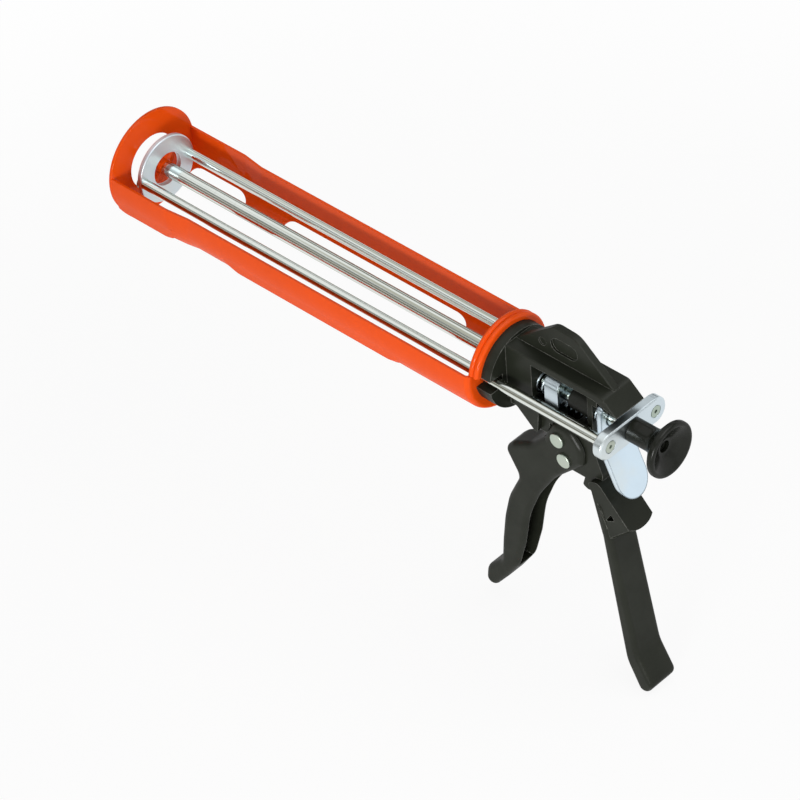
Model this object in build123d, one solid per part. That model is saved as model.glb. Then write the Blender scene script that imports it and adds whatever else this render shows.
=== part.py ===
"""Hand-operated applicator gun for two-part coaxial cartridges.

Millimetres, +X to the nose, +Y to the user's left, +Z up.  The origin is the centre of
the front plate's inner face, where the cartridge's shoulder seats.  Distances called
"back" are measured rearwards from the body's front face.
"""
from build123d import *
import math
import os

# Cradle, pressed from sheet steel
cradle_length = 269.0           # front plate's inner face to the rear wall
bay_radius = 29.0               # inside of the shell
sheet = 1.5
rail_rise = 5.5                 # top edges of the rails above the axis
nose_flare = 1.9                # extra radius of the shell behind the front plate
flare_end = 43.0                # where the wide front stretch ends
flare_run = 15.0                # length of the step down to the bay radius
bend_radius = 3.0               # rear wall's bend into the shell
slot_angle = 57.5               # slot edges, from straight down
slot_corner = 10.0              # corner radius where the slot meets the shell
slot_lip = 1.5                  # turned-out edge along each side slot
lip_run = 13.0                  # length over which the lip rises at a slot's end
lip_sink = 0.4                  # lip ends this far under the shell's face
lip_over = 1.0                  # front lip runs on past its slot
lip_start = 0.1                 # lip's flat starts this far under the shell's face
front_slot = (3.0, 50.0)        # start and end behind the front plate
long_slot = (80.0, 221.0)
belly_half_width = 17.0         # open strip along the bottom between the two rails
rear_wall = 2.0

# Front plate
plate_overhang = 0.2            # front plate's rim beyond the flared shell
plate_thickness = 2.4
nose_hole_radius = 17.0

# Beaded rim over the collar
collar_radius = 24.4
collar_fit = 0.1
bead_radius = 1.7
rim_band = 2.0                  # metal under the two beads
rim_lead = 0.6                  # rim starts this far in front of the rear wall

# Rods and pushers
centre_rod_radius = 4.25
push_rod_radius = 3.0
rod_spacing = 18.0              # centre rod to each push rod
running_fit = 0.1
pusher_margin = 2.9             # pusher beyond the push rods' centres
pusher_hole_radius = 10.35
pusher_thickness = 3.2
pusher_gap = 8.8                # pusher's front face to the seat, rods fully forward
star_radius = 9.7
star_hub_radius = 4.5
star_arm_width = 2.8
star_arm_depth = 4.0
star_hub_depth = 6.5
star_arms = 4
star_turn = 45.0                # first arm's angle from +Y
star_inset = 1.6                # hub's rear face ahead of the ring pusher's
spigot_radius = 3.0             # turned-down front end of the centre rod
spigot_length = 5.0
rod_nose = 1.2                  # bevel of the centre rod behind the star

# Screws that hold the rods, the star and the knob
rod_screw_radius = 1.6
rod_screw_head_radius = 3.6
rod_screw_length = 12.0
socket_radius = 1.15
socket_depth = 1.4
head_ring = 0.35                # groove round a flush screw's head

# Body casting
body_half_width = 11.0
roof_height = 22.0
roof_thickness = 4.2
collar_length = 10.5
block_end = 28.5                # rear face of the solid front block
roof_end = 78.6
roof_tip = 88.6
roof_tip_height = 13.4
inner_wall = (64.6, 68.0)
inner_wall_half_width = 7.4
sill_top = -5.0
floor_top = -11.5
floor_bottom = -14.0
side_wall = 1.8
gusset_half_width = 9.0
gusset_toe = 28.8
gusset_lean = 1.8               # rear edge of the gusset, top behind bottom
gusset_drop = 32.2
cheek_end = 35.0                # side cheeks of the feed opening, ahead of the drive pin
cheek_bottom = -31.0
skirt_bottom = -23.0            # inner skirts over the drive pin
feed_behind_pivot = 6.5         # rear end of the feed opening
fin_half_width = 2.3
fin_height = 22.0
fin_foot = (10.3, 79.3)
fin_top = (38.5, 53.5)
fin_rear_drop = 0.8             # rear end of the fin's top below its front end
cast_edge = 0.7                 # easing of the roof's and fin's edges
recess_centre = 45.0
recess_height_up = 9.9          # recess centre above the roof
recess_length = 18.6
recess_height = 9.4
recess_depth = 1.4
dimple_centre = 29.6
dimple_height_up = 7.4
dimple_radius = 2.6
dimple_depth = 0.9
spring_pocket_radius = 7.6
spring_pocket_end = 8.0
rod_notch_half_height = 4.2

# Handle, shield and neck, all part of the casting
neck_half_width = 5.7
neck_rear = 65.5
pivot_boss_bottom = -48.0
boss_above_pivot = 4.8
handle_half_width = 10.4
handle_front_top = (66.8, -51.0)
handle_rear_top = (80.3, -80.0)
handle_length = 112.0           # straight front of the handle, measured upright
handle_lean = 10.37236          # degrees from upright
toe_front = (11.7, -22.0)       # toe's corners from the lower end of that front
toe_rear = (19.1, -10.5)
heel = (8.7, 7.0)               # rear bend from the same end
front_sweep = 24.0              # bend of the front edge into the toe
rear_sweep = 22.0
handle_rounding = 3.0
toe_rounding = 4.3
channel_wall = 3.0
channel_depth = 5.5
channel_start = 32.0            # channel's upper end below the handle's top
channel_stop = 8.0              # channel's lower end above the front's lower end
shield_half_width = 9.6
shield_top = (71.8, -42.6)
shield_tip = (92.3, -64.0)
shield_foot = (83.0, -74.0)
shield_bow = 3.8                # lower edge's arc below its corners
side_pocket = ((75.6, -67.4), (82.6, -63.6), (80.4, -60.2))
side_pocket_depth = 4.0

# Trigger and its two pins
pivot_back = 47.6
pivot_height = -40.0
drive_forward = 4.2             # drive pin ahead of and above the pivot
drive_rise = 12.0
drive_pin_radius = 2.6
pin_radius = 3.0
pin_head_radius = 4.5
pin_head = 1.5
pin_clip_radius = 4.2
pin_clip = 1.0
pin_tail = 0.8                  # pin standing past its clip
pin_fit = 0.08
ear_half_width = 9.0
ear_thickness = 2.8
ear_hollow_radius = 15.0
blade_wall = 2.6
blade_skin = 3.6                # front wall of the trigger's channel
toe_solid = 106.0               # channel ends this far below the pivot
trigger_rounding = 3.6          # front edges of the nose, blade and toe

# Feed mechanism round the centre rod
cage_start = 35.3
cage_length = 9.4
cage_half_width = 8.8
cage_top = 11.6
cage_bottom = -9.0
cage_sheet = 1.2
cage_bend = 5.4
plate_clear = 0.35              # gripping plates on the rod and in the cage
grip_plate_thickness = 1.6
grip_plate_gap = 0.2
grip_tail_half_width = 3.4
grip_tail_bottom = -32.5
sleeve_start = 49.0
sleeve_radius = 6.2
return_wire = 1.3
return_mean_radius = 6.2
return_turns = 7.0
small_wire = 0.7
small_mean_radius = 1.8
small_turns = 7.0
small_spring_height = -8.8
spring_end_gap = 0.3

# Release plate
release_start = 72.0
release_thickness = 3.3
release_top = 11.2
release_half_width = 8.6
release_hole_clear = 0.55
release_bend_top = -8.5
release_widening = 8.0          # height over which the plate widens to its toe
release_toe = (93.0, -46.0)
release_lobe_radius = 11.0
release_roll_radius = 2.0       # rolled top edge that the plate swings on
release_rib = 2.6
release_rib_clear = 0.35
release_wire = 0.8
release_mean_radius = 6.2
release_turns = 2.0

# Yoke and knob
yoke_start = 84.0
yoke_thickness = 6.0
yoke_end_radius = 8.2
yoke_edge = 0.8
knob_stem_radius = 6.9
knob_stem_length = 16.0
knob_radius = 16.6
knob_length = 27.0
knob_rim = 3.6
knob_dish = 5.5
knob_hole_radius = 3.6
knob_web = 3.0
knob_grip_length = 14.0         # rod inside the knob
knob_screw_head = 2.4
knob_screw_length = 9.0

# Screws between the cradle's rear wall and the collar
wall_screw_circle_radius = 15.0
wall_screw_radius = 1.9
wall_screw_head_radius = 3.3
wall_screw_head = 2.2
wall_screw_length = 9.0

# Derived places
body_face = -(cradle_length + rear_wall)
shell_outer = bay_radius + sheet
flare_outer = shell_outer + nose_flare
plate_radius = flare_outer + plate_overhang
pusher_radius = rod_spacing + pusher_margin
pusher_rear = -(pusher_gap + pusher_thickness)
star_rear = pusher_rear + star_inset
yoke_front = body_face - yoke_start
yoke_rear = yoke_front - yoke_thickness
rail_angle = math.degrees(math.asin(rail_rise / shell_outer))
roof_under = roof_height - roof_thickness
release_pivot = release_top - release_roll_radius
feed_rear = pivot_back + feed_behind_pivot
handle_slope = math.tan(math.radians(handle_lean))
handle_front_low = (handle_front_top[0] + handle_slope * handle_length, handle_front_top[1] - handle_length)
rod_places = [(rod_spacing, "left"), (-rod_spacing, "right")]


def back(distance):
    """X of a point this far behind the body's front face."""
    return body_face - distance


def side_face(*corners):
    """Closed face in the XZ plane through (back, height, corner radius) points."""
    points = [(back(d), z) for d, z, _ in corners]
    radii = [r for _, _, r in corners]
    return Plane.XZ * make_face(FilletPolyline(*points, radius=radii, close=True))


def side_prism(half_width, *corners):
    """Side outline given the same thickness each side of the middle plane."""
    return extrude(side_face(*corners), amount=half_width, both=True)


def rod_along_x(radius, x_from, x_to, y=0.0, z=0.0):
    """Round bar along X between two places."""
    start = Plane(origin=(min(x_from, x_to), y, z), z_dir=(1, 0, 0))
    return extrude(start * Circle(radius), amount=abs(x_to - x_from))


def pin_across(radius, y_from, y_to, x, z):
    """Round bar along Y between two places."""
    start = Plane(origin=(x, min(y_from, y_to), z), z_dir=(0, 1, 0))
    return extrude(start * Circle(radius), amount=abs(y_to - y_from))


def block(x_from, x_to, half_width, z_from, z_to, y=0.0):
    """Rectangular block, central on y."""
    size = (abs(x_to - x_from), 2 * half_width, abs(z_to - z_from))
    middle = ((x_from + x_to) / 2, y, (z_from + z_to) / 2)
    return Pos(*middle) * Box(*size)


def turned(*points):
    """Body turned about the X axis from (x, radius) points."""
    return revolve(make_face(Polyline(*points, close=True)), axis=Axis.X)


def shell_profile():
    """Sheet profile from the front plate to the rear wall's bend, as (x, radius)."""
    rear = body_face
    outer = [
        (0, flare_outer),
        (-flare_end, flare_outer),
        (-flare_end - flare_run, shell_outer),
        (rear, shell_outer),
        (rear, collar_radius - bend_radius),
    ]
    inner = [
        (rear + rear_wall, collar_radius - bend_radius),
        (rear + rear_wall, bay_radius),
        (-flare_end - flare_run, bay_radius),
        (-flare_end, bay_radius + nose_flare),
        (0, bay_radius + nose_flare),
    ]
    step = flare_run
    outer_line = FilletPolyline(*outer, radius=[step, step, bend_radius])
    inner_line = FilletPolyline(*inner, radius=[bend_radius - sheet, step, step])
    closing = [Line(outer_line @ 1, inner_line @ 0), Line(inner_line @ 1, outer_line @ 0)]
    return make_face([outer_line, inner_line] + closing)


def slot_cutter(span):
    """Wedge of a round-cornered slot, its long sides radial to the axis."""
    length = span[1] - span[0]
    spread = math.tan(math.radians(slot_angle))
    meet = shell_outer * math.cos(math.radians(slot_angle))
    layers = []
    for depth in (2.0, 1.2 * plate_radius):
        corner = slot_corner * depth / meet + 0.5
        corner = min(corner, spread * depth - 0.1, length / 2 - 0.1)
        face = RectangleRounded(length, 2 * spread * depth, corner)
        layers.append(Pos(-(span[0] + span[1]) / 2, 0, -depth) * face)
    return loft(layers)


def shell_radius(distance):
    """Outside radius of the shell this far behind the front plate."""
    share = (distance - flare_end) / flare_run
    return flare_outer - nose_flare * min(max(share, 0), 1)


def lip_band(span):
    """Turned-out edge of a slot, rising from the shell at the slot's ends."""
    start, end = span
    crown = [(start + lip_run, slot_lip), (end - lip_run, slot_lip)]
    stations = [(start, -lip_sink), *crown, (end, -lip_sink)]
    crest = [(-d, shell_radius(d) + rise) for d, rise in stations]
    root = [(-d, shell_radius(d) - sheet) for d, _ in reversed(stations)]
    radii = [0, 2 * lip_run, lip_run, 0] + [0] * len(root)
    outline = FilletPolyline(*crest, *root, radius=radii, close=True)
    return revolve(make_face(outline), axis=Axis.X)


def lip_strips(span):
    """Flats that leave the shell almost at a tangent, down to the slot's two long edges."""
    start = max(span[0], 0)
    length = span[1] - start
    radius = shell_radius(start) - lip_start
    crest = shell_radius(start) + slot_lip
    turn = math.acos(radius / crest)
    leave = math.radians(slot_angle) + turn
    width = crest * math.sin(turn) + slot_lip
    flat = Rectangle(length, width)
    strips = []
    for side in (1, -1):
        outward = (0, side * math.sin(leave), -math.cos(leave))
        foot = Vector(outward) * radius - Vector(start + length / 2, 0, 0)
        plane = Plane(origin=foot, x_dir=(1, 0, 0), z_dir=outward)
        strips.append(extrude(plane * Pos(0, side * width / 2) * flat, amount=-lip_start - sheet / 2))
    return strips[0] + strips[1]


def make_cradle_shell():
    """Open-topped trough, its bottom open between two rails and wider at the slots, with a rear wall."""
    sweep_angle = 180 + 2 * rail_angle
    shell = revolve(Rot(X=-180 - rail_angle) * shell_profile(), axis=Axis.X, revolution_arc=sweep_angle)
    shell += rod_along_x(collar_radius, body_face, body_face + rear_wall)
    front_lip = (front_slot[0] - lip_run, front_slot[1] + lip_over)
    for span, lip in ((front_slot, front_lip), (long_slot, long_slot)):
        flare = lip_strips(lip) & lip_band(lip)
        shell = shell + flare - slot_cutter(span)
    shell -= block(0, body_face + 2 * bend_radius, belly_half_width, -2 * plate_radius, 0)
    shell -= rod_along_x(centre_rod_radius + running_fit, body_face, body_face + rear_wall)
    for y, _ in rod_places:
        shell -= rod_along_x(push_rod_radius + running_fit, body_face, body_face + rear_wall, y)
    for y, z in wall_screw_places():
        shell -= rod_along_x(wall_screw_radius, body_face, body_face + rear_wall, y, z)
    return shell


def make_front_plate():
    """Pressed ring with rounded edges that stops the cartridge."""
    ring = [
        (0, nose_hole_radius),
        (0, plate_radius),
        (plate_thickness, plate_radius),
        (plate_thickness, nose_hole_radius),
    ]
    soft = plate_thickness * 0.4
    face = make_face(FilletPolyline(*ring, radius=[0, 0.3, soft, 0], close=True))
    return revolve(face, axis=Axis.X)


def make_rear_rim():
    """Upper rim of the rear wall, rolled into two beads round the collar."""
    inner = collar_radius + collar_fit
    front = body_face + rear_wall + rim_lead
    width = 4 * bead_radius
    middle = inner + rim_band / 2
    band = Pos(front - width / 2, middle) * Rectangle(width, rim_band)
    for step in (1, 3):
        band += Pos(front - step * bead_radius, inner + rim_band) * Circle(bead_radius)
    arc = 180 - 2 * rail_angle
    return revolve(Rot(X=rail_angle) * band, axis=Axis.X, revolution_arc=arc)


def wall_screw_places():
    """Four screw places on a circle round the centre rod."""
    return [polar(wall_screw_circle_radius, 45 + 90 * n) for n in range(4)]


def polar(radius, degrees):
    """Y and Z of a point on a circle about the X axis."""
    angle = math.radians(degrees)
    return radius * math.cos(angle), radius * math.sin(angle)


def make_wall_screws():
    """Pan-head screws from inside the cradle into the collar."""
    screws = []
    seat = body_face + rear_wall
    for y, z in wall_screw_places():
        screw = rod_along_x(wall_screw_radius, seat - wall_screw_length, seat, y, z)
        head = rod_along_x(wall_screw_head_radius, seat, seat + wall_screw_head, y, z)
        head = fillet(head.edges().group_by(Axis.X)[-1], wall_screw_head * 0.45)
        socket_top = seat + wall_screw_head
        screws.append(screw + head - hex_socket(socket_top, -1, y, z, 1.3 * socket_radius))
    return Compound(children=screws)


def hex_socket(x, inward, y, z, radius):
    """Hexagon recess from an end face, inward being +1 or -1 along X."""
    start = Plane(origin=(x, y, z), z_dir=(inward, 0, 0))
    return extrude(start * RegularPolygon(radius, 6), amount=socket_depth)


def make_roof():
    """Roof over the mechanism, with a sloping tail."""
    roof = side_prism(
        body_half_width,
        (collar_length / 2, roof_height, 0),
        (roof_end, roof_height, 4),
        (roof_tip, roof_tip_height, 0),
        (release_start, roof_under, 0),
        (collar_length / 2, roof_under, 0),
    )
    roof = fillet(roof.edges().filter_by(Axis.X).group_by(Axis.Z)[-1], cast_edge)
    roll = release_start + release_thickness / 2
    front_rib = roll - release_roll_radius - release_rib_clear
    rear_rib = roll + release_roll_radius + release_rib_clear
    for low, high in ((inner_wall[1], front_rib), (rear_rib, rear_rib + release_rib)):
        roof += side_prism(
            inner_wall_half_width,
            (low, roof_under + 1, 0),
            (high, roof_under + 1, 0),
            (high, release_pivot, 0),
            (low, release_pivot, 0),
        )
    return roof


def make_fin():
    """Upright fin on the roof, with a shallow oval recess and a dimple in each side."""
    foot_front, foot_rear = fin_foot
    top_front, top_rear = fin_top
    peak = roof_height + fin_height
    fin = side_prism(
        fin_half_width,
        (foot_front, roof_height - 2, 0),
        (foot_front, roof_height, 0),
        (top_front, peak, 8),
        (top_rear, peak - fin_rear_drop, 12),
        (foot_rear, roof_height, 0),
        (foot_rear, roof_height - 2, 0),
    )
    rims = fin.edges().filter_by(
        lambda e: abs(e.center().Y) > fin_half_width - 0.01 and e.center().Z > roof_height + 1)
    fin = fillet(rims, cast_edge)
    oval = SlotOverall(recess_length, recess_height)
    recess_middle = (back(recess_centre), 0, roof_height + recess_height_up)
    dimple_middle = (back(dimple_centre), 0, roof_height + dimple_height_up)
    for side in (1, -1):
        for middle, shape, depth in (
            (recess_middle, oval, recess_depth),
            (dimple_middle, Circle(dimple_radius), dimple_depth),
        ):
            plane = Plane(origin=middle, x_dir=(1, 0, 0), z_dir=(0, side, 0))
            fin -= extrude(plane.offset(fin_half_width) * shape, amount=-depth)
    return fin


def make_front_block():
    """Round collar, the block behind it and the gusset under it."""
    collar = rod_along_x(collar_radius, back(0), back(collar_length))
    notch_inner = rod_spacing - push_rod_radius - 0.6
    for side in (1, -1):
        middle = side * (notch_inner + collar_radius)
        collar -= block(back(0), back(collar_length), collar_radius, -rod_notch_half_height,
                        rod_notch_half_height, middle)
    front = block(back(collar_length / 2), back(block_end), body_half_width, floor_bottom, roof_height)
    front = fillet(front.edges().filter_by(Axis.X).group_by(Axis.Z)[-1], cast_edge)
    gusset = side_prism(
        gusset_half_width,
        (collar_length / 2, floor_bottom + 1, 0),
        (collar_length / 2, -0.8 * collar_radius, 0),
        (collar_length + 4, -0.8 * collar_radius, 3),
        (gusset_toe, -gusset_drop, 1.5),
        (gusset_toe + gusset_lean, floor_bottom + 1, 0),
    )
    return collar + front + gusset


def make_window_frame():
    """Low side walls, floor and the inner wall that carries the guide sleeve."""
    frame = block(back(block_end - 1), back(inner_wall[1]), body_half_width, floor_bottom, floor_top)
    side_middle = body_half_width - side_wall / 2
    for side in (1, -1):
        frame += block(back(block_end - 1), back(inner_wall[1]), side_wall / 2, floor_bottom,
                       sill_top, side * side_middle)
    frame += block(back(inner_wall[0]), back(inner_wall[1]), inner_wall_half_width, floor_bottom,
                   roof_under + 1)
    return frame


def make_neck():
    """Narrow web between the trigger's ears, carrying the pivot."""
    boss_front = pivot_back - 9.0
    shelf = pivot_height + boss_above_pivot
    return side_prism(
        neck_half_width,
        (feed_rear, floor_top, 0),
        (feed_rear, shelf, 2),
        (boss_front + 2, shelf, 2.5),
        (boss_front, pivot_height, 2.5),
        (boss_front + 5, pivot_boss_bottom, 3),
        (handle_front_top[0] - 8, pivot_boss_bottom, 0),
        (handle_front_top[0] + 2, handle_front_top[1] - 6, 0),
        (shield_top[0], shield_top[1] - 1, 0),
        (shield_top[0], shield_top[1] + 3, 6),
        (neck_rear, shield_top[1] + 20, 6),
        (neck_rear, floor_top, 0),
    )


def from_handle_end(place):
    """Side-outline place measured from the lower end of the handle's straight front."""
    return handle_front_low[0] + place[0], handle_front_low[1] + place[1]


def make_handle():
    """Slim handle with a turned-back toe, hollowed along its front."""
    bar = side_prism(
        handle_half_width,
        (handle_front_top[0] + 2.5, handle_front_top[1] - 5, 0),
        (*handle_front_low, front_sweep),
        (*from_handle_end(toe_front), toe_rounding),
        (*from_handle_end(toe_rear), toe_rounding),
        (*from_handle_end(heel), rear_sweep),
        (*handle_rear_top, 0),
        (handle_rear_top[0] - 7, handle_front_top[1] - 9, 0),
    )
    for side in (1, -1):
        long_edges = bar.edges().filter_by(
            lambda e: side * e.center().Y > handle_half_width - 0.01 and e.center().Z < handle_rear_top[1])
        bar = fillet(long_edges, handle_rounding)
    drop_from = handle_front_top[1] - channel_start
    drop_to = handle_front_low[1] + channel_stop
    d_from = handle_front_top[0] + handle_slope * channel_start
    d_to = handle_front_low[0] - handle_slope * channel_stop
    channel = side_prism(
        handle_half_width - channel_wall,
        (d_from - 4, drop_from, 0),
        (d_from + channel_depth, drop_from, 3),
        (d_to + channel_depth, drop_to, 3),
        (d_to - 4, drop_to, 0),
    )
    return bar - channel


def make_shield():
    """Broad top of the handle and the guard that keeps the hand off the release plate."""
    run = Vector(shield_tip[0] - shield_top[0], shield_tip[1] - shield_top[1])
    slope = run.normalized()
    low_tip = run + slope * shield_bow
    wedge = side_prism(
        shield_half_width,
        (handle_front_top[0] - 3, pivot_boss_bottom + 3, 3),
        (*shield_top, 4),
        (shield_top[0] + low_tip.X, shield_top[1] + low_tip.Y, 1.5),
        (shield_tip[0] - 1.5, shield_tip[1] - 8, 4),
        (*shield_foot, 4),
        (handle_rear_top[0] - 2, handle_rear_top[1] - 3, 0),
        (handle_front_top[0] + 7, handle_front_top[1] - 27, 4),
        (handle_front_top[0], handle_front_top[1], 2),
    )
    half = shield_half_width + 1
    reach = run.length
    guard = Plane(
        origin=(back(shield_top[0]), 0, shield_top[1]),
        x_dir=(-slope.X, 0, slope.Y),
        z_dir=(slope.Y, 0, slope.X),
    )
    upper = Polyline((reach, half), (-2 * reach, half), (-2 * reach, -half), (reach, -half))
    lower = ThreePointArc((reach, -half), (reach + shield_bow, 0), (reach, half))
    return wedge & extrude(guard * make_face([upper, lower]), amount=2 * reach, both=True)


def side_pockets():
    """Three-cornered pockets in both sides of the handle's broad top."""
    through = side_prism(handle_half_width + 1, *[(*corner, 0.6) for corner in side_pocket])
    web = side_prism(shield_half_width - side_pocket_depth, *[(*corner, 0) for corner in side_pocket])
    return through - web


def make_body_casting():
    """One casting: collar, roof, fin, mechanism frame, neck, shield and handle."""
    casting = make_front_block() + make_roof() + make_fin() + make_window_frame()
    casting += make_neck()
    casting += make_handle()
    casting += make_shield()
    hook = side_prism(
        neck_half_width,
        (handle_front_top[0] - 7.5, pivot_boss_bottom + 1, 0),
        (handle_front_top[0] - 9.5, pivot_boss_bottom - 6, 1.5),
        (handle_front_top[0] - 6, pivot_boss_bottom - 7.5, 1.5),
        (handle_front_top[0] + 3, pivot_boss_bottom - 6, 0),
        (handle_front_top[0] + 3, pivot_boss_bottom + 1, 0),
    )
    casting += hook
    casting -= side_pockets()
    feed_opening = block(back(block_end - 1.5), back(feed_rear), neck_half_width + 0.3,
                         pivot_height + boss_above_pivot, floor_top + 1)
    casting -= feed_opening
    cheek_middle = (neck_half_width + grip_tail_half_width + 0.5) / 2
    cheek_half = (neck_half_width - grip_tail_half_width - 0.5) / 2
    for side in (1, -1):
        casting += block(back(gusset_toe - 1), back(cheek_end), cheek_half, cheek_bottom,
                         floor_bottom, side * cheek_middle)
        casting += block(back(cheek_end - 1), back(feed_rear), cheek_half, skirt_bottom,
                         floor_bottom, side * cheek_middle)
    casting -= rod_along_x(centre_rod_radius + running_fit, back(0), back(block_end))
    casting -= rod_along_x(spring_pocket_radius, back(spring_pocket_end), back(block_end))
    casting -= rod_along_x(sleeve_radius, back(inner_wall[0]), back(inner_wall[1]))
    casting -= pin_across(pin_radius + pin_fit, -body_half_width, body_half_width,
                          back(pivot_back), pivot_height)
    for y, z in wall_screw_places():
        casting -= rod_along_x(wall_screw_radius, back(0), back(wall_screw_length - rear_wall), y, z)
    return casting


def make_guide_sleeve():
    """Plain bush in the inner wall that guides the centre rod."""
    bore = centre_rod_radius + running_fit
    tube = rod_along_x(sleeve_radius, back(sleeve_start), back(inner_wall[1]))
    tube = chamfer(tube.edges().group_by(Axis.X)[-1], 0.8)
    return tube - rod_along_x(bore, back(sleeve_start), back(inner_wall[1]))


def trigger_point(forward, up):
    """Side-outline place measured from the pivot pin."""
    return pivot_back - forward, pivot_height + up


def on_front(point):
    """Whether a place on the trigger lies on its nose, finger blade or toe."""
    forward = point.X - back(pivot_back)
    up = point.Z - pivot_height
    return forward > 15.3 and (forward + 0.55 * up > 5 or forward > 51)


def trigger_outline():
    """Trigger seen from the side: ears, nose, finger blade and curled toe."""
    shape = [
        (15.2, 7.0, 0),
        (13.4, 12.5, 5),
        (8.0, 22.2, 7),
        (-4.5, 22.7, 8),
        (-13.2, 12.5, 9),
        (-12.9, 1.8, 4.5),
        (-2.0, -8.4, 10),
        (9.5, -19.8, 40),
        (21.5, -38.3, 60),
        (30.0, -58.8, 70),
        (34.2, -82.5, 30),
        (40.0, -102.5, 20),
        (50.0, -117.5, 0),
        (59.0, -129.0, 4.2),
        (66.2, -129.5, 4.4),
        (64.8, -117.0, 9),
        (53.0, -105.5, 8),
        (51.4, -88.0, 60),
        (48.8, -69.0, 60),
        (44.8, -52.5, 40),
        (35.4, -32.6, 8),
        (40.8, -23.8, 10),
        (45.2, -16.4, 4.6),
        (39.6, -10.6, 8),
        (25.5, -3.0, 20),
    ]
    return [(*trigger_point(f, u), r) for f, u, r in shape]


def make_trigger():
    """Cast trigger, a channel open to the rear with two ears round the neck."""
    whole = side_prism(ear_half_width, *trigger_outline())
    front = whole.edges().filter_by(
        lambda e: abs(e.center().Y) > ear_half_width - 0.01 and on_front(e.center()))
    solid = fillet(front, trigger_rounding)
    inner = ear_half_width - blade_wall
    toe = pivot_height - toe_solid
    room = block(back(-2 * toe_solid), back(2 * roof_tip), inner, toe, 0)
    hollow = Pos(-blade_skin, 0, 0) * whole & room
    between_ears = ear_half_width - ear_thickness
    hollow += pin_across(ear_hollow_radius, -between_ears, between_ears, back(pivot_back), pivot_height)
    hollow += block(back(cage_start - 10), back(pivot_back + 20), between_ears,
                    pivot_height + 5, pivot_height + 30)
    hollow += block(back(pivot_back - 2), back(pivot_back + 20), between_ears,
                    pivot_height - 16, pivot_height + 30)
    solid -= hollow
    solid -= pin_across(pin_radius, -ear_half_width, ear_half_width, back(pivot_back), pivot_height)
    solid -= pin_across(drive_pin_radius, -ear_half_width, ear_half_width, *drive_place())
    return solid


def drive_place():
    """X and Z of the drive pin with the trigger at rest."""
    return back(pivot_back - drive_forward), pivot_height + drive_rise


def make_pin(radius, x, z):
    """Headed pin through both ears, its far end standing past its clip."""
    far = -(ear_half_width + pin_clip + pin_tail)
    pin = pin_across(radius, far, ear_half_width, x, z)
    pin = chamfer(pin.edges().group_by(Axis.Y)[0], 0.4)
    head = pin_across(pin_head_radius, ear_half_width, ear_half_width + pin_head, x, z)
    return pin + fillet(head.edges().group_by(Axis.Y)[-1], 0.5)


def make_pin_clip(radius, x, z):
    """Open spring clip on the far end of a pin."""
    ring = pin_across(pin_clip_radius, -ear_half_width - pin_clip, -ear_half_width, x, z)
    ring -= pin_across(radius, -ear_half_width - pin_clip, -ear_half_width, x, z)
    gap = block(x, x + 2 * pin_clip_radius, pin_clip, z - 0.55 * radius, z + 0.55 * radius,
                -ear_half_width - pin_clip / 2)
    return ring - gap


def make_pin_clips():
    """Clips of the pivot pin and the drive pin."""
    clips = [
        make_pin_clip(pin_radius, back(pivot_back), pivot_height),
        make_pin_clip(drive_pin_radius, *drive_place()),
    ]
    return Compound(children=clips)


def arch_face(inset):
    """Arched outline of the drive cage, drawn in by a sheet thickness."""
    half = cage_half_width - inset
    top = cage_top - inset
    bend = cage_bend - inset
    points = [(half, cage_bottom), (half, top), (-half, top), (-half, cage_bottom)]
    return make_face(FilletPolyline(*points, radius=[0, bend, bend, 0], close=True))


def make_drive_cage():
    """Folded keeper over the gripping plates, its front wall taking the return spring."""
    front = Plane.YZ.offset(back(cage_start))
    cage = extrude(front * (arch_face(0) - arch_face(cage_sheet)), amount=-cage_length)
    cage += extrude(front * arch_face(0), amount=-cage_sheet)
    opening = Pos(0, cage_bottom) * Rectangle(2 * grip_tail_half_width + 2, 8)
    cage -= extrude(front * opening, amount=-cage_sheet)
    bore = centre_rod_radius + 2 * plate_clear
    return cage - rod_along_x(bore, back(cage_start), back(cage_start + cage_sheet))


def make_gripping_plates():
    """Two plates that tilt on the centre rod and drive it forward, with long tails."""
    half = cage_half_width - cage_sheet - plate_clear
    top = cage_top - cage_sheet - plate_clear
    outline = [
        (half, cage_bottom),
        (half, top),
        (-half, top),
        (-half, cage_bottom),
        (-grip_tail_half_width, cage_bottom - 3),
        (-grip_tail_half_width, grip_tail_bottom),
        (grip_tail_half_width, grip_tail_bottom),
        (grip_tail_half_width, cage_bottom - 3),
    ]
    face = make_face(FilletPolyline(*outline, radius=[1, 4.2, 4.2, 1, 1, 1.5, 1.5, 1], close=True))
    face -= Circle(centre_rod_radius + plate_clear)
    first = cage_start + cage_sheet + spring_end_gap
    plates = []
    for n in range(2):
        start = first + n * (grip_plate_thickness + grip_plate_gap)
        plane = Plane.YZ.offset(back(start))
        plates.append(extrude(plane * face, amount=-grip_plate_thickness))
    return Compound(children=plates)


def grip_plates_end():
    """Distance back to the rear face of the second gripping plate."""
    return cage_start + cage_sheet + spring_end_gap + 2 * grip_plate_thickness + grip_plate_gap


def biarc(p1, t1, p2, t2):
    """Two tangent arcs between two points with given directions."""
    v = p2 - p1
    t = t1 + t2
    k = 2 * (1 - t1.dot(t2))
    d = (-v.dot(t) + math.sqrt(v.dot(t) ** 2 + k * v.dot(v))) / k
    q1 = p1 + t1 * d
    q2 = p2 - t2 * d
    middle = (q1 + q2) * 0.5
    return [TangentArc(p1, middle, tangent=t1), TangentArc(middle, p2, tangent=q2 - q1)]


def least_gap(coil, turns, wire, per_turn=120):
    """Least gap between stretches of a coil's wire that lie over half a turn apart."""
    count = round(per_turn * turns)
    places = [tuple(coil @ (n / count)) for n in range(count + 1)]
    gaps = []
    for n, place in enumerate(places):
        gaps += [math.dist(place, other) - wire for other in places[n + per_turn // 2:]]
    return min(gaps)


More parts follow.
